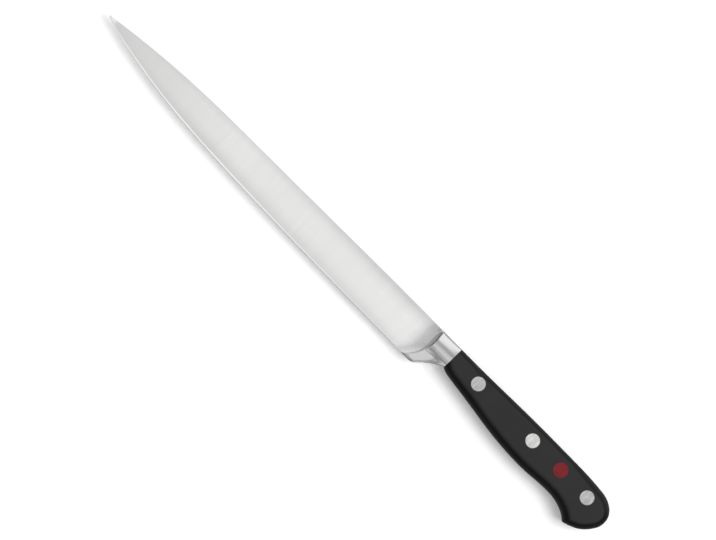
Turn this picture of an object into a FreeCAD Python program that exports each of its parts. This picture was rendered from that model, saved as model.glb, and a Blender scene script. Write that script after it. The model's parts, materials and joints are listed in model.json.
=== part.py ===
import FreeCAD, Part
import math
import os

from FreeCAD import Vector

# A slim fillet knife that lies on its right side: blade, bolster and tang are one forging,
# and two scales are riveted to the tang. Lengths are in millimetres and angles in degrees.
# While it is built, X runs from the front of the scales to the tip, Y from the back to the
# cutting edge, and Z up through the left side. The finished pieces are then moved together
# so that the origin lies under the middle of the knife, on the surface that it rests on.

# Overall sizes
blade_length = 202.2        # shoulder of the bolster to the tip
bolster_length = 10.2       # front of the scales to the shoulder
handle_length = 98.0        # front of the scales to the butt
handle_thickness = 14.0
tang_thickness = 2.5

# Blade
heel_depth = 19.9
tip_depth = 8.1             # cutting edge at the tip
tip_height = 0.6
spine_thickness = 1.8
tip_thickness = 0.7
edge_thickness = 0.3        # just above the sharpened bevel
bevel_depth = 0.8
root_length = 3.8           # unsharpened root between the bolster's hollow and the sharpened edge
# Share of the way to the tip, the spine's share of its fall there and the rate of that share,
# then the same two for the rise of the cutting edge
blade_curve_shares = (
    (0.0, 0.0, 0.15, 0.0, 0.06),
    (0.55, 0.19, 0.28, 0.08, 0.46),
    (0.88, 0.61, 2.9, 0.53, 2.85),
    (1.0, 1.0, 3.6, 1.0, 6.5),
)
tip_bevel_share = 0.4       # share of the blade's height that the bevel takes at the very tip

# Outline of the handle, as depths below the back line at the bolster
front_depth = 10.95
crown_rise = 1.0
butt_turn_depth = -0.25
butt_depth = 8.6
butt_flank_depth = 16.65
hook_depth = 21.4
waist_depth = 16.65
belly_depth = 17.65
swell_depth = 12.65
# Shares of the handle's length, from the front of the scales
front_share = 0.0
crown_share = 0.592
butt_turn_share = 0.898
butt_share = 1.0
butt_flank_share = 0.959
hook_share = 0.865
waist_share = 0.725
belly_share = 0.541
swell_share = 0.051
# Directions in which the outline runs: 0 is forward, 90 is towards the cutting edge
backward_heading = 180
butt_turn_heading = 174.6
downward_heading = 90
butt_flank_heading = 46
hook_arrival_heading = 14
hook_departure_heading = -42
forward_heading = 0
swell_heading = -6.8
foot_heading = -34

# Round-over of the scales' outer edges, along the back, round the butt and along the belly
back_round = 2.4
butt_round = 3.7
belly_round = 4.6

# Bolster
bolster_round = 4.4         # round-over of its back, which grows out of that of the scales
heel_rise = 1.3             # rounding under the heel, from the lower end of the finger curve
heel_run = 3.2
finger_start_heading = 22
finger_end_heading = 47
turn_in_depth = 6.4         # at the heel, where the side turns in towards the crease
crease_depth = 11.5         # at the heel, where that round-over meets the cheek of the heel tail
crease_thickness = 7.0
crease_arrival_heading = 47
crease_departure_heading = 13
crease_split_angle = 60     # places on the round-over at the scales from which crease and toe grow
toe_split_angle = 75
toe_arrival_heading = 11
toe_departure_heading = 38
toe_height = 1.7            # rounding under the heel tail
tail_thickness = 4.2        # heel tail above that rounding
tail_flat = 1.0             # flat left under the heel tail
plunge_length = 7.6         # hollow between the bolster's shoulder and the flat of the root
plunge_start_heading = 80
plunge_turn_share = 0.74    # how tightly the hollow turns from the shoulder's wall to the root
# How far ahead of the shoulder the hollow starts, pole by pole from above the spine to below the edge
plunge_sweep = (-1.1, 3.1, -5.3, 7.6)

# Rivets and inlay, on one line from the front rivet to the rear one
front_rivet_depth = 5.35
rear_rivet_depth = 6.2
rivet_shares = {"front": 0.161, "middle": 0.5115, "rear": 0.8625}
plug_share = 0.6925
rivet_head_diameter = 6.4
rivet_head_height = 2.0
rivet_shank_diameter = 4.6
rivet_pin_diameter = 3.2
rivet_end_gap = 0.4         # pin short of the socket's floor, and socket short of the pin's head
rivet_floor = 1.0           # socket's floor above its head
plug_diameter = 6.7
plug_height = 1.2

# Fits
seat_clearance = 0.02       # heads and inlay in their seats, on the radius
shank_clearance = 0.1       # rivet shanks in scales and tang, on the radius
overrun = 3.0               # length by which a cut passes the piece that it cuts

# Worked out
half = handle_thickness / 2
tang_half = tang_thickness / 2
spine_half = spine_thickness / 2
edge_half = edge_thickness / 2
tip_ahead = bolster_length + blade_length
grind_start = bolster_length + plunge_length + root_length
flank_depth = heel_depth - bevel_depth
foot_round = belly_round / math.cos(math.radians(foot_heading))
head_seat = half - rivet_head_height
head_radius = rivet_head_diameter / 2
shank_radius = rivet_shank_diameter / 2
pin_radius = rivet_pin_diameter / 2
plug_radius = plug_diameter / 2
plug_floor = half - plug_height
ellipse_share = 4 / 3 * (math.sqrt(2) - 1)

# Stops of the handle's outline: share of the length, depth and direction
back_stops = (
    (front_share, 0, backward_heading),
    (crown_share, -crown_rise, backward_heading),
    (butt_turn_share, butt_turn_depth, butt_turn_heading),
    (butt_share, butt_depth, downward_heading),
    (butt_flank_share, butt_flank_depth, butt_flank_heading),
    (hook_share, hook_depth, hook_arrival_heading),
)
butt_stops = back_stops[2:]
belly_stops = (
    (hook_share, hook_depth, hook_departure_heading),
    (waist_share, waist_depth, forward_heading),
    (belly_share, belly_depth, forward_heading),
    (swell_share, swell_depth, swell_heading),
    (front_share, front_depth, foot_heading),
)


def between(start, end, share):
    return start + (end - start) * share


def heading(angle):
    """Unit direction in the plane of the blade."""
    return Vector(math.cos(math.radians(angle)), math.sin(math.radians(angle)), 0)


# Curves and rings: a curve is its four poles, and a ring is a closed row of curves

def straight(start, end):
    return [between(start, end, third / 3) for third in range(4)]


def flow(start, start_way, end, end_way):
    """Curve that leaves and arrives in the given directions, and is round where they allow it."""
    turn = start_way.getAngle(end_way)
    reach = start.distanceToPoint(end) / (3 * math.cos(turn / 4) ** 2)
    return [start, start + start_way * reach, end - end_way * reach, end]


def round_corner(start, knee, end, share):
    """Turn that is tangent to both legs of the corner at the knee, and tighter for a larger share."""
    return [start, between(start, knee, share), between(end, knee, share), end]


def edge(poles):
    curve = Part.BezierCurve()
    curve.setPoles(poles)
    return curve.toShape()


def ring_face(ring):
    return Part.Face(Part.Wire([edge(poles) for poles in ring]))


def patch(rows):
    """Smooth face whose poles are the rows of poles of matching curves."""
    surface = Part.BezierSurface()
    surface.increase(len(rows) - 1, len(rows[0]) - 1)
    for row, poles in enumerate(rows, 1):
        for column, pole in enumerate(poles, 1):
            surface.setPole(row, column, pole)
    return surface.toShape()


def skin(*strips):
    """Solid inside strips of rings, each strip the rows of poles of one stretch of the surface."""
    faces = [patch(rows) for strip in strips for rows in zip(*strip)]
    faces += [ring_face(strips[0][0]), ring_face(strips[-1][-1])]
    return Part.Solid(Part.makeShell(faces))


def polygon(points):
    return Part.makePolygon(points + points[:1])


def turned(profile):
    """Solid of revolution about a rivet's axis, from (radius, height) points."""
    face = Part.Face(polygon([Vector(radius, 0, height) for radius, height in profile]))
    return face.revolve(Vector(0, 0, 0), Vector(0, 0, 1), 360)


def mirrored(shape):
    """The same piece on the right side of the knife."""
    return shape.mirror(Vector(0, 0, 0), Vector(0, 0, 1))


# Handle

def handle_place(share, depth):
    return Vector(-share * handle_length, depth, 0)


def arc(start, way, end):
    """Arc that leaves in the given direction."""
    chord = end - start
    out = way - chord * (way.dot(chord) / chord.dot(chord))
    bulge = chord.Length / 2 * math.tan(way.getAngle(chord) / 2)
    return Part.Arc(start, (start + end) / 2 + out.normalize() * bulge, end).toShape()


def two_arcs(start, start_way, end, end_way):
    """Two arcs with no corner between them, which leave and arrive in the given directions."""
    chord = end - start
    along = chord.dot(start_way + end_way)
    spread = 2 * (1 - start_way.dot(end_way))
    reach = chord.dot(chord) / (along + math.sqrt(along ** 2 + spread * chord.dot(chord)))
    joint = (start + start_way * reach + end - end_way * reach) / 2
    return [arc(start, start_way, joint), arc(end, -end_way, joint)]


def outline(stops):
    """Arcs through a row of stops."""
    ends = [(handle_place(share, depth), heading(angle)) for share, depth, angle in stops]
    return [piece for start, end in zip(ends, ends[1:]) for piece in two_arcs(*start, *end)]


def abreast_of_front(share, depth, angle):
    """Place abreast of the scales' front, on the line that touches the outline at a stop."""
    stop = handle_place(share, depth)
    way = heading(angle)
    return stop - way * (stop.x / way.x)


def rounded_side(stops, rim, radius):
    """Plate that one side of the outline and a rim past the rest enclose, with that side rounded over."""
    face = Part.Face(Part.Wire(outline(stops) + Part.makePolygon(rim).Edges))
    plate = face.translated(Vector(0, 0, tang_half)).extrude(Vector(0, 0, half - tang_half))
    upper = [rim_edge for rim_edge in plate.Edges if rim_edge.BoundBox.ZMin > tang_half]
    return plate.makeFillet(radius, [bend for bend in upper if isinstance(bend.Curve, Part.Circle)])


def scale_blank():
    """Left scale before drilling: what its back, butt and belly leave of a plate, square at the bolster."""
    hook = handle_place(hook_share, hook_depth)
    past_hook = abreast_of_front(*back_stops[-1])
    before_hook = hook - heading(hook_departure_heading) * handle_length
    foot = handle_place(front_share, front_depth)
    past_foot = foot + heading(foot_heading) * overrun
    above = -crown_rise - overrun
    butt_turn = handle_place(butt_turn_share, butt_turn_depth)
    before_turn = abreast_of_front(*butt_stops[0])
    back_side = rounded_side(back_stops, [hook, past_hook, handle_place(front_share, 0)], back_round)
    butt_side = rounded_side(butt_stops, [hook, past_hook, before_turn, butt_turn], butt_round)
    corners = [Vector(past_foot.x, above, 0), Vector(before_hook.x, above, 0)]
    belly_side = rounded_side(belly_stops, [foot, past_foot] + corners + [before_hook, hook], belly_round)
    return back_side.common(butt_side).common(belly_side)


def on_rivet_line(share):
    """Place on the line of the rivets, at a share of the handle's length."""
    along = (share - rivet_shares["front"]) / (rivet_shares["rear"] - rivet_shares["front"])
    return handle_place(share, between(front_rivet_depth, rear_rivet_depth, along))


def rivet_seat():
    """Stepped hole for one rivet in the left scale."""
    hole = shank_radius + shank_clearance
    seat = head_radius + seat_clearance
    return turned([(0, -overrun), (hole, -overrun), (hole, head_seat), (seat, head_seat),
                   (seat, half + overrun), (0, half + overrun)])


def plug_seat():
    radius = plug_radius + seat_clearance
    above = half + overrun
    return turned([(0, plug_floor), (radius, plug_floor), (radius, above), (0, above)])


def placed(shape, share):
    return shape.translated(on_rivet_line(share))


def drilled_scale():
    return scale_blank().cut([placed(rivet_seat(), share) for share in rivet_shares.values()])


def rivet_pin():
    """Upper half of a rivet, with a solid pin that is pressed into the socket."""
    end = rivet_floor + rivet_end_gap - head_seat
    return turned([(0, end), (pin_radius, end), (pin_radius, head_seat), (head_radius, head_seat),
                   (head_radius, half), (0, half)])


def rivet_socket():
    """Lower half of a rivet, with a tube that takes the pin."""
    floor = rivet_floor - head_seat
    mouth = head_seat - rivet_end_gap
    return turned([(0, -half), (head_radius, -half), (head_radius, -head_seat), (shank_radius, -head_seat),
                   (shank_radius, mouth), (pin_radius, mouth), (pin_radius, floor), (0, floor)])


def colour_plug():
    return turned([(0, plug_floor), (plug_radius, plug_floor), (plug_radius, half), (0, half)])


# Forging

def blade_ring(share, fall_share, rise_share):
    """Wedge with a flat spine and a sharpened bevel, at a share of the way to the tip."""
    ahead = between(grind_start, tip_ahead, share)
    spine = (tip_depth - tip_height) * fall_share
    apex = between(heel_depth, tip_depth, rise_share)
    bevel = min(bevel_depth, (apex - spine) * tip_bevel_share)
    back_half = between(spine_half, tip_thickness / 2, share)
    section = ((spine, back_half), (apex - bevel, edge_half), (apex, 0), (apex - bevel, -edge_half),
               (spine, -back_half))
    corners = [Vector(ahead, depth, out) for depth, out in section]
    return [straight(start, end) for start, end in zip(corners, corners[1:] + corners[:1])]


def blade_strip(start, end):
    """Rows of poles for the stretch of blade between two entries of the curve table."""
    def ring(entry, step):
        share, fall, fall_rate, rise, rise_rate = entry
        return blade_ring(share + step, fall + fall_rate * step, rise + rise_rate * step)

    third = (end[0] - start[0]) / 3
    return [ring(start, 0), ring(start, third), ring(end, -third), ring(end, 0)]


def blade():
    stretches = zip(blade_curve_shares, blade_curve_shares[1:])
    return skin(*[blade_strip(start, end) for start, end in stretches])


def round_over(angle):
    """Rise above the foot, height and slope at a place on the scales' lower round-over at the bolster."""
    turn = math.radians(angle)
    rise = foot_round * (1 - math.sin(turn))
    out = half - belly_round * (1 - math.cos(turn))
    slope = math.atan2(belly_round * math.sin(turn), foot_round * math.cos(turn))
    return rise, out, math.degrees(slope)


def bolster_ring(ahead, bottom, share):
    """Section across the bolster, from flush with the scales at share 0 to the heel tail at share 1."""
    def place(depth, out):
        return Vector(ahead, depth, out)

    def way(start_angle, end_angle):
        angle = math.radians(between(start_angle, end_angle, share))
        return Vector(0, math.cos(angle), -math.sin(angle))

    crease_rise, crease_out, crease_slope = round_over(crease_split_angle)
    toe_rise, toe_out, toe_slope = round_over(toe_split_angle)
    back_turn = bolster_round if share else back_round
    top = place(0, half - back_turn)
    flat = place(back_turn, half)
    turn_in = place(between(front_depth - foot_round, turn_in_depth, share), half)
    crease = place(between(front_depth - crease_rise, crease_depth, share),
                   between(crease_out, crease_thickness / 2, share))
    toe = place(bottom - between(toe_rise, toe_height, share), between(toe_out, tail_thickness / 2, share))
    foot = place(bottom, between(half - belly_round, tail_flat / 2, share))
    left = [
        round_corner(top, place(0, half), flat, ellipse_share),
        straight(flat, turn_in),
        flow(turn_in, way(0, 0), crease, way(crease_slope, crease_arrival_heading)),
        flow(crease, way(crease_slope, crease_departure_heading), toe, way(toe_slope, toe_arrival_heading)),
        flow(toe, way(toe_slope, toe_departure_heading), foot, way(downward_heading, downward_heading)),
    ]
    right = [[Vector(pole.x, pole.y, -pole.z) for pole in reversed(poles)] for poles in reversed(left)]
    return [straight(right[-1][-1], top)] + left + [straight(foot, right[0][0])] + right


def bolster_blank():
    """Bolster before grinding, drawn out along the finger curve and under the heel."""
    foot = Vector(0, front_depth, 0)
    heel_corner = Vector(bolster_length, heel_depth - heel_rise, 0)
    heel_end = Vector(bolster_length + heel_run, heel_depth, 0)
    finger = flow(foot, heading(finger_start_heading), heel_corner, heading(finger_end_heading))
    heel = flow(heel_corner, heading(finger_end_heading), heel_end, heading(forward_heading))
    finger_strip = [bolster_ring(pole.x, pole.y, third / 3) for third, pole in enumerate(finger)]
    heel_strip = [bolster_ring(pole.x, pole.y, 1) for pole in heel]
    root_strip = [heel_strip[-1], bolster_ring(grind_start, heel_depth, 1)]
    return skin(finger_strip, heel_strip, root_strip)


def plunge_ring(depth, sweep):
    """Section through the left side of the grind, along the blade at one depth."""
    def place(ahead, out):
        return Vector(ahead, depth, out)

    out = between(spine_half, edge_half, depth / flank_depth)
    start = bolster_length + sweep
    knee = start + (half - out) / math.tan(math.radians(plunge_start_heading))
    root = start + plunge_length
    beyond = grind_start + overrun
    above = half + overrun
    rim = [place(root, out), place(beyond, out), place(beyond, above), place(start, above),
           place(start, half)]
    hollow = round_corner(rim[-1], place(knee, out), rim[0], plunge_turn_share)
    return [hollow] + [straight(first, second) for first, second in zip(rim, rim[1:])]


def plunge():
    """Left side of the grind, which leaves the root flat and meets the bolster in a hollow."""
    depths = [between(-overrun, flank_depth + overrun, third / 3) for third in range(4)]
    return skin([plunge_ring(depth, sweep) for depth, sweep in zip(depths, plunge_sweep)])


def tang():
    front = Part.makePolygon([handle_place(front_share, front_depth), handle_place(front_share, 0)])
    face = Part.Face(Part.Wire(outline(back_stops) + outline(belly_stops) + front.Edges))
    plate = face.translated(Vector(0, 0, -tang_half)).extrude(Vector(0, 0, tang_thickness))
    reach = tang_half + overrun
    hole = Part.makeCylinder(shank_radius + shank_clearance, reach * 2, Vector(0, 0, -reach))
    return plate.cut([placed(hole, share) for share in rivet_shares.values()])


def forging():
    bolster = bolster_blank().cut([plunge(), mirrored(plunge())])
    return bolster.fuse([blade(), tang()]).removeSplitter()


# Pieces

pieces = {"forged_blade": forging()}
scale = drilled_scale()
pieces["left_scale"] = scale.cut(placed(plug_seat(), plug_share))
pieces["right_scale"] = mirrored(scale)
for name, share in rivet_shares.items():
    pieces[name + "_rivet_pin"] = placed(rivet_pin(), share)
    pieces[name + "_rivet_socket"] = placed(rivet_socket(), share)
pieces["colour_plug"] = placed(colour_plug(), plug_share)

rest = Vector((handle_length - tip_ahead) / 2, (crown_rise - hook_depth) / 2, half)
os.makedirs("parts", exist_ok=True)
for node, shape in pieces.items():
    shape.translated(rest).exportStep("parts/" + node + ".step")
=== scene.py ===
import json
import math

import bpy
from mathutils import Euler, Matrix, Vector

# A slim fillet knife on a white floor, seen from straight above. Lengths are in metres, in the
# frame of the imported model: +X to the tip, +Y to the cutting edge, +Z up through the left side.

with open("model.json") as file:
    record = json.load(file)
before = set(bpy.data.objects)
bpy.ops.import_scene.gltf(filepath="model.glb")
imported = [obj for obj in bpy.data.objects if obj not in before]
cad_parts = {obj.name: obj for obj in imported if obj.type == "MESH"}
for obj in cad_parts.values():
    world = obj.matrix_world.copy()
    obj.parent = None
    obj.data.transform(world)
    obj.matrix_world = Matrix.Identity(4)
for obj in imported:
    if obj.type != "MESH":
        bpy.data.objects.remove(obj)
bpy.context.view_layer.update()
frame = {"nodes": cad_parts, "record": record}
nodes = frame["nodes"]
scene = bpy.context.scene
scene.view_settings.view_transform = "Standard"

# Photograph
image_width = 716               # pixels
pixel = 0.4386e-3               # length on the knife that one pixel covers
view_centre = Vector((-0.0006, -0.0021, 0.007))
view_turn = math.radians(225.6)
lens = 200.0                    # millimetres, as the sensor is
sensor = 36.0

# Floor
floor_size = 12.0
floor_glow = 0.085              # added where the floor is seen, so that it is white
floor_grain = ((400, 400, 400), 3.0)    # of each grain: scale along each axis, then detail
floor_colours = ((0.93, 0.93, 0.93, 1), (0.97, 0.97, 0.97, 1))
white = (1, 1, 1, 1)

# Light
key_power = 8.6                 # watts
key_size = 0.6
key_distance = 1.2
key_lean = math.radians(33)     # from the vertical
key_turn = math.radians(207)    # towards the butt and the back of the knife
# Brightness of the studio from the back of the knife, over the top, to the side of its edge
sky_tones = ((0.0, 0.9), (0.055, 0.96), (0.2, 0.85), (0.42, 0.66), (0.5, 0.42), (0.57, 0.6), (0.7, 0.69),
             (0.83, 0.71), (0.905, 0.54), (1.0, 0.38))

# Places on the knife
scale_front = -0.0572           # along the knife, where the scales meet the bolster
shoulder = -0.047               # where the bolster ends
plunge_middle = -0.041          # the middle of the hollow in front of it
plunge_end = -0.035             # where it has run out into the blade
tip = 0.1552
rivet_ends = (-0.1417, -0.073)  # the rear and the front rivet
back_line = -0.0102             # across the knife, the spine at the heel
edge_line = 0.0097              # the cutting edge there
# Share of the blade's length from the shoulder, and depth of spine and edge there in shares of the heel's
spine_shares = ((0.0, 0.0), (0.3, 0.03), (0.6, 0.075), (0.75, 0.119), (0.85, 0.191), (0.95, 0.308),
                (1.0, 0.377))
edge_shares = ((0.0, 1.0), (0.4, 0.986), (0.6, 0.945), (0.75, 0.862), (0.85, 0.746), (0.95, 0.564),
               (1.0, 0.407))

# Patterns
axis_range = (-1, 1)            # of a direction along one axis
noise_middle = 0.5
noise_range = (0.3, 0.7)        # in which most of a grain lies
colour_inputs = (6, 7)          # numbers of the colour sockets of a Mix node
colour_output = 2
black = (0, 0, 0, 1)

# Steel
steel_colour = (0.98, 0.98, 0.975, 1)
edge_tint = (0.3, 0.3, 0.3, 1)  # of steel that is seen along its surface
grind_grain = ((7000, 40, 40), 4.0)
polish_grain = ((40, 1500, 1500), 2.0)
steel_cloud = ((30, 60, 60), 2.0)       # where the marks are strong
mark_height = 1e-6
mark_range = (0.2, 0.8)         # of the marks, from the darker to the paler tone
mark_tones = (0.93, 1.0)
satin_roughness = (0.36, 0.46)
gloss_roughness = (0.15, 0.21)
bolster_tone = 0.9              # of the polish at the shoulder
hollow_painted_light = 1.0               # and, as painted light, in the middle of the hollow
# Painted shade of the blade from the spine to the cutting edge, first at the heel
heel_painted_shades = ((0.0, 0.61), (0.05, 0.62), (0.1, 0.68), (0.2, 0.77), (0.35, 0.83), (0.65, 0.83), (0.8, 0.81),
              (0.9, 0.76), (0.95, 0.74))
tip_painted_shades = ((0.0, 0.82), (0.06, 0.88), (0.2, 0.96), (0.6, 0.96), (0.75, 0.91), (0.87, 0.83), (0.945, 0.79))
tip_painted_shade = 0.865                # at the very tip, where the painted shade is even
bevel_painted_shades = (0.77, 1.0)       # painted shade of the sharpened bevel, at the heel and further on
bevel_facing = (0.09, 0.12)     # slopes between which the bevel starts
bevel_roughness = 0.65          # ground with a coarser stone than the flank
# Shares of the blade's length between which the heel's painted shades turn into the tip's, and those get
# even
shade_fade_shares = (0.1, 0.6)
tip_fade_shares = (0.65, 1.0)
# Painted shade of steel by the way it faces: the back of the knife, then its flat side, then the side of
# its edge
facing_painted_shades = ((0.0, 0.5), (0.09, 0.58), (0.15, 1.0), (0.77, 1.0), (0.83, 0.72), (0.89, 0.5), (1.0, 0.42))
# Painted shade of the bolster from its back to its belly, with a painted dark reflection line along its
# middle
line_painted_shades = ((0.18, 1.0), (0.226, 0.8), (0.25, 0.72), (0.275, 0.8), (0.3, 0.96), (0.36, 0.95),
              (0.405, 0.84), (0.45, 1.0))
rise_painted_shades = ((0.0, 0.65), (0.06, 0.68), (0.12, 1.0))    # and painted shade of the hollow where it meets the back
rise_fade = (-0.045, -0.043)    # along the knife, where that ends
under_facing = (0.4, 0.65)      # slopes between which the painted shade on the heel tail's underside starts
under_line = (0.001, 0.0022)    # across the knife, where it starts
# painted shade on the heel tail's underside
underside_painted_shade = 0.55
worn_radius = 0.5e-3            # by which the bolster's edges are polished round
keen_radius = 0.12e-3           # and those of the blade
worn_samples = 16

# Scales
# painted shade on the round-overs, then the plastic's own colour on its flat sides
scale_painted_shade_and_colour = ((0.002, 0.002, 0.0022, 1), (0.028, 0.028, 0.029, 1))
scale_specular = 0.05
scale_roughness = (0.42, 0.55)
pore_grain = ((5200, 5200, 5200), 2.0)
pore_height = 1.2e-5
scale_cloud = ((90, 90, 90), 3.0)
scale_cloud_share = 0.25
flat_facing = (0.9, 1.0)        # slopes between which the flat sides start
back_facing = (-0.2, -0.6)      # and the back, which gets painted light
back_painted_light_shares = (0.0, 0.55)       # how much painted light the back gets, as a share of the flat sides

# Rivets
rivet_colour = (0.98, 0.98, 0.97, 1)
rivet_roughness = (0.18, 0.24)
# Painted reflection tone of the rivets, from the rear one to the front one
rivet_painted_reflections = ((0.0, 0.66), (0.5, 1.0), (1.0, 0.85))
ring_grain = ((34, 1, 1), 3.0)  # outwards from a rivet's middle
scratch_grain = ((900, 260, 260), 4.0)
scratch_share = 0.4
ring_height = 6e-6
ring_range = (0.35, 0.65)
ring_tones = (0.8, 1.0)
to_middle = (-0.5, -0.5, 0)     # from a corner of a rivet's own box
seen_flat = (1, 1, 0)           # leaves out the box's height

# Inlay
plug_colours = ((0.13, 0.006, 0.009, 1), (0.17, 0.009, 0.012, 1))
plug_specular = 0.15
plug_roughness = (0.26, 0.36)
plug_cloud = ((120, 120, 120), 1.0)

# Shading
weld_distance = 2e-6
smooth_angle = math.radians(24)
face_weight = 60                # above 50, so that large faces keep their own direction


# Node helpers

def add_node(tree, kind, inputs=None, **settings):
    """New node with its settings, and with each named input linked to a socket or set to a value."""
    node = tree.nodes.new(kind)
    for name, value in settings.items():
        setattr(node, name, value)
    for name, value in (inputs or {}).items():
        if isinstance(value, bpy.types.NodeSocket):
            tree.links.new(value, node.inputs[name])
        else:
            node.inputs[name].default_value = value
    return node


def split(tree, vector):
    return add_node(tree, "ShaderNodeSeparateXYZ", {"Vector": vector}).outputs


def ramp(tree, value, stops):
    """Grey tones between (place, brightness) stops."""
    node = add_node(tree, "ShaderNodeValToRGB", {"Fac": value})
    elements = node.color_ramp.elements
    for number, (place, tone) in enumerate(stops):
        element = elements[number] if number < len(elements) else elements.new(place)
        element.position = place
        element.color = (tone, tone, tone, 1)
    return node.outputs["Color"]


def spread(tree, value, low, high, start=0.0, end=1.0):
    """The value between two limits, spread over a new range and held at its ends."""
    limits = {"Value": value, "From Min": low, "From Max": high, "To Min": start, "To Max": end}
    return add_node(tree, "ShaderNodeMapRange", limits).outputs["Result"]


def grain(tree, place, scale, detail):
    """Noise between 0 and 1, with a scale along each axis."""
    placed = add_node(tree, "ShaderNodeMapping", {"Vector": place, "Scale": scale}).outputs["Vector"]
    settings = {"Vector": placed, "Scale": 1.0, "Detail": detail}
    return add_node(tree, "ShaderNodeTexNoise", settings).outputs["Fac"]


def mixed(tree, share, first, second):
    inputs = {"Factor": share, "A": first, "B": second}
    return add_node(tree, "ShaderNodeMix", inputs, data_type="FLOAT").outputs["Result"]


def calculated(tree, operation, *values):
    inputs = dict(enumerate(values))
    return add_node(tree, "ShaderNodeMath", inputs, operation=operation).outputs["Value"]


def product(tree, first, second):
    return calculated(tree, "MULTIPLY", first, second)


def tint(tree, share, dark, light):
    """Colour between two colours."""
    inputs = {"Factor": share, **dict(zip(colour_inputs, (dark, light)))}
    return add_node(tree, "ShaderNodeMix", inputs, data_type="RGBA").outputs[colour_output]


def bump(tree, height, depth, **more):
    return add_node(tree, "ShaderNodeBump", {"Height": height, "Distance": depth, **more}).outputs["Normal"]


def new_material(name, **values):
    """Material with fixed values on its shader, and the places that its patterns use."""
    material = bpy.data.materials.new(name)
    material.use_nodes = True
    tree = material.node_tree
    shader = tree.nodes["Principled BSDF"]
    for socket, value in values.items():
        shader.inputs[socket.replace("_", " ")].default_value = value
    places = add_node(tree, "ShaderNodeTexCoord").outputs
    return material, tree, shader, places


def drive(tree, shader, **sockets):
    """Links patterns to the shader's sockets of these names."""
    for name, socket in sockets.items():
        tree.links.new(socket, shader.inputs[name.replace("_", " ")])


# Materials

def floor_paper():
    material, tree, shader, places = new_material("floor_paper", Roughness=1.0, Specular_IOR_Level=0.0,
                                                  Emission_Color=white)
    fibres = grain(tree, places["Object"], *floor_grain)
    rays = add_node(tree, "ShaderNodeLightPath").outputs
    seen = rays["Is Camera Ray"]
    for kind in ("Is Glossy Ray", "Is Transmission Ray"):
        seen = calculated(tree, "MAXIMUM", seen, rays[kind])
    drive(tree, shader, Base_Color=tint(tree, fibres, *floor_colours),
          Emission_Strength=product(tree, seen, floor_glow))
    return material


def flank_painted_shade(tree, along, depth, sharpened):
    """Painted shade of the blade from its spine to its edge and along its length, and of the sharpened
    bevel.
    """
    across = spread(tree, depth, ramp(tree, along, spine_shares), ramp(tree, along, edge_shares))
    shade_fade = spread(tree, along, *shade_fade_shares)
    grind_and_painted_shade = mixed(tree, shade_fade, ramp(tree, across, heel_painted_shades), ramp(tree, across, tip_painted_shades))
    plain = mixed(tree, spread(tree, along, *tip_fade_shares), grind_and_painted_shade, tip_painted_shade)
    bevel = spread(tree, along, *shade_fade_shares, *bevel_painted_shades)
    return mixed(tree, sharpened, plain, bevel)


def slope_painted_shade(tree, axes, depth, facing):
    """Painted shade of steel by its slope, with the bolster's lines painted in and painted shade under the
    heel tail.
    """
    slope = ramp(tree, spread(tree, facing, *axis_range), facing_painted_shades)
    rise = mixed(tree, spread(tree, axes["X"], *rise_fade), ramp(tree, depth, rise_painted_shades), 1.0)
    ahead = spread(tree, axes["X"], shoulder, shoulder + worn_radius)
    line = mixed(tree, ahead, ramp(tree, depth, line_painted_shades), rise)
    underside = product(tree, spread(tree, facing, *under_facing), spread(tree, axes["Y"], *under_line))
    under = mixed(tree, underside, 1.0, underside_painted_shade)
    return product(tree, product(tree, slope, line), under)


def worn_normal(tree, place_along, blade):
    """Direction of the surface with its edges worn round, but not those against the scales."""
    open_share = spread(tree, place_along, scale_front, scale_front + 2 * worn_radius)
    radius = product(tree, open_share, mixed(tree, blade, worn_radius, keen_radius))
    return add_node(tree, "ShaderNodeBevel", {"Radius": radius}, samples=worn_samples).outputs["Normal"]


def forged_steel():
    """Satin blade with its grinding marks across its length, a coarser bevel, and a bolster with its polish
    along it, with painted shade and painted light in its colour.
    """
    material, tree, shader, places = new_material("forged_steel", Metallic=1.0, Specular_Tint=edge_tint)
    place = places["Object"]
    axes = split(tree, place)
    blade = spread(tree, axes["X"], shoulder, plunge_end)
    along = spread(tree, axes["X"], shoulder, tip)
    depth = spread(tree, axes["Y"], back_line, edge_line)
    worn = worn_normal(tree, axes["X"], blade)
    face = split(tree, add_node(tree, "ShaderNodeNewGeometry").outputs["True Normal"])
    sharpened = spread(tree, face["Y"], *bevel_facing)
    grind_and_painted_shade = grain(tree, place, *grind_grain)
    polish = grain(tree, place, *polish_grain)
    marks = mixed(tree, blade, polish, grind_and_painted_shade)
    clouded = mixed(tree, grain(tree, place, *steel_cloud), noise_middle, marks)
    shade = spread(tree, clouded, *mark_range, *mark_tones)
    # painted light that lifts the hollow in front of the shoulder
    bolster_and_hollow_light = spread(tree, axes["X"], shoulder, plunge_middle, bolster_tone, hollow_painted_light)
    # painted light in the hollow and painted shade on the blade
    painted_tone = mixed(tree, blade, bolster_and_hollow_light, flank_painted_shade(tree, along, depth, sharpened))
    sloped = slope_painted_shade(tree, axes, depth, split(tree, worn)["Y"])
    tone = product(tree, shade, product(tree, painted_tone, sloped))
    satin = mixed(tree, sharpened, spread(tree, grind_and_painted_shade, *noise_range, *satin_roughness), bevel_roughness)
    gloss = spread(tree, polish, *noise_range, *gloss_roughness)
    drive(tree, shader, Base_Color=tint(tree, tone, black, steel_colour),
          Roughness=mixed(tree, blade, gloss, satin), Normal=bump(tree, marks, mark_height, Normal=worn))
    return material


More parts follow.
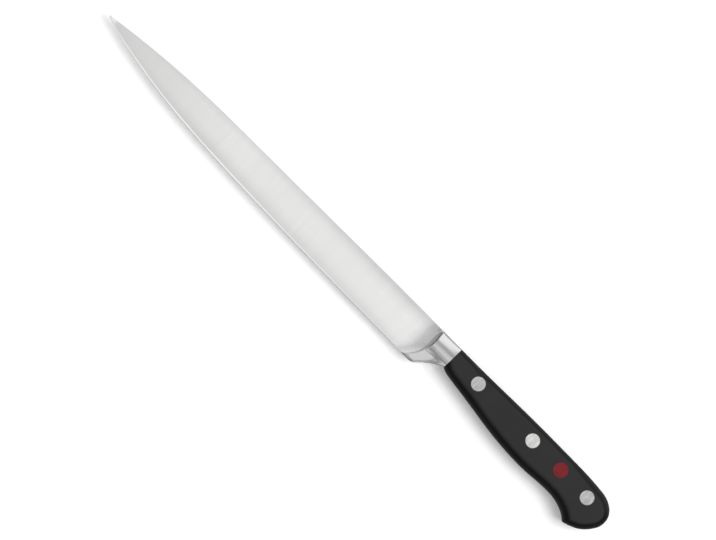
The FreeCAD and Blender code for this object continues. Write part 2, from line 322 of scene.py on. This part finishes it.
def scale_plastic():
    """Black plastic with a fine grain, darkened as painted shade on its round-overs but not on its flat
    sides, and painted lighter on its back.
    """
    material, tree, shader, places = new_material("scale_plastic", Specular_IOR_Level=scale_specular)
    pores = grain(tree, places["Object"], *pore_grain)
    cloud = grain(tree, places["Object"], *scale_cloud)
    facing = split(tree, add_node(tree, "ShaderNodeNewGeometry").outputs["Normal"])
    # painted shade on the round-overs, with painted light on the back's
    sides = spread(tree, calculated(tree, "ABSOLUTE", facing["Z"]), *flat_facing)
    back = spread(tree, facing["Y"], *back_facing, *back_painted_light_shares)
    painted_tone = calculated(tree, "MAXIMUM", sides, back)
    pale = mixed(tree, scale_cloud_share, painted_tone, cloud)
    drive(tree, shader, Base_Color=tint(tree, pale, *scale_painted_shade_and_colour),
          Roughness=spread(tree, pores, *noise_range, *scale_roughness),
          Normal=bump(tree, pores, pore_height))
    return material


def rivet_steel():
    """Ground rivet heads with faint turned rings about each rivet's middle."""
    material, tree, shader, places = new_material("rivet_steel", Metallic=1.0, Specular_Tint=edge_tint)
    moves = {"Vector": places["Generated"], "Location": to_middle, "Scale": seen_flat}
    middle = add_node(tree, "ShaderNodeMapping", moves).outputs["Vector"]
    radius = add_node(tree, "ShaderNodeVectorMath", {"Vector": middle}, operation="LENGTH").outputs["Value"]
    circles = add_node(tree, "ShaderNodeCombineXYZ", {"X": radius}).outputs["Vector"]
    rings = grain(tree, circles, *ring_grain)
    scratches = grain(tree, places["Object"], *scratch_grain)
    marks = mixed(tree, scratch_share, rings, scratches)
    # painted reflection: each rivet gets a tone of its own along the knife
    along = spread(tree, split(tree, places["Object"])["X"], *rivet_ends)
    shade = product(tree, ramp(tree, along, rivet_painted_reflections), spread(tree, marks, *ring_range, *ring_tones))
    drive(tree, shader, Base_Color=tint(tree, shade, black, rivet_colour),
          Roughness=spread(tree, scratches, *noise_range, *rivet_roughness),
          Normal=bump(tree, marks, ring_height))
    return material


def plug_plastic():
    """Plain red inlay."""
    material, tree, shader, places = new_material("plug_plastic", Specular_IOR_Level=plug_specular)
    cloud = grain(tree, places["Object"], *plug_cloud)
    drive(tree, shader, Base_Color=tint(tree, cloud, *plug_colours),
          Roughness=spread(tree, cloud, *noise_range, *plug_roughness))
    return material


# Camera, floor and light

def add_camera():
    data = bpy.data.cameras.new("camera")
    data.lens = lens
    data.sensor_width = sensor
    camera = bpy.data.objects.new("camera", data)
    distance = image_width * pixel * lens / sensor
    camera.location = view_centre + Vector((0, 0, distance))
    camera.rotation_euler = Euler((0, 0, view_turn))
    scene.collection.objects.link(camera)
    scene.camera = camera


def add_floor():
    half = floor_size / 2
    mesh = bpy.data.meshes.new("floor")
    corners = [(-half, -half, 0), (half, -half, 0), (half, half, 0), (-half, half, 0)]
    mesh.from_pydata(corners, [], [(0, 1, 2, 3)])
    floor = bpy.data.objects.new("floor", mesh)
    scene.collection.objects.link(floor)
    mesh.materials.append(floor_paper())


def add_key_light():
    """Softbox above the butt and the back of the knife."""
    data = bpy.data.lights.new("key", "AREA")
    data.energy = key_power
    data.size = key_size
    light = bpy.data.objects.new("key", data)
    light.rotation_euler = Euler((0, key_lean, key_turn))
    light.location = light.rotation_euler.to_matrix() @ Vector((0, 0, key_distance))
    scene.collection.objects.link(light)


def add_sky():
    """Studio that is bright behind the back of the knife, and dim overhead and low beyond the edge."""
    world = bpy.data.worlds.new("studio")
    world.use_nodes = True
    scene.world = world
    tree = world.node_tree
    way = split(tree, add_node(tree, "ShaderNodeTexCoord").outputs["Generated"])
    brightness = ramp(tree, spread(tree, way["Y"], *axis_range), sky_tones)
    tree.links.new(brightness, tree.nodes["Background"].inputs["Color"])


# Pieces

def dress(name, material):
    """Gives a node of the model its material and smooth shading within its rounded faces."""
    piece = nodes[name]
    piece.data.materials.clear()
    piece.data.materials.append(material)
    for polygon in piece.data.polygons:
        polygon.use_smooth = True
    weld = piece.modifiers.new("weld", "WELD")
    weld.merge_threshold = weld_distance
    crisp = piece.modifiers.new("crisp", "EDGE_SPLIT")
    crisp.split_angle = smooth_angle
    crisp.use_edge_sharp = False
    even = piece.modifiers.new("even", "WEIGHTED_NORMAL")
    even.weight = face_weight


add_camera()
add_floor()
add_key_light()
add_sky()

finishes = {
    "blade_steel": forged_steel(),
    "scale_plastic": scale_plastic(),
    "rivet_steel": rivet_steel(),
    "plug_plastic": plug_plastic(),
}
for part in frame["record"]["subparts"]:
    dress(part["node"], finishes[part["material_slot"]])
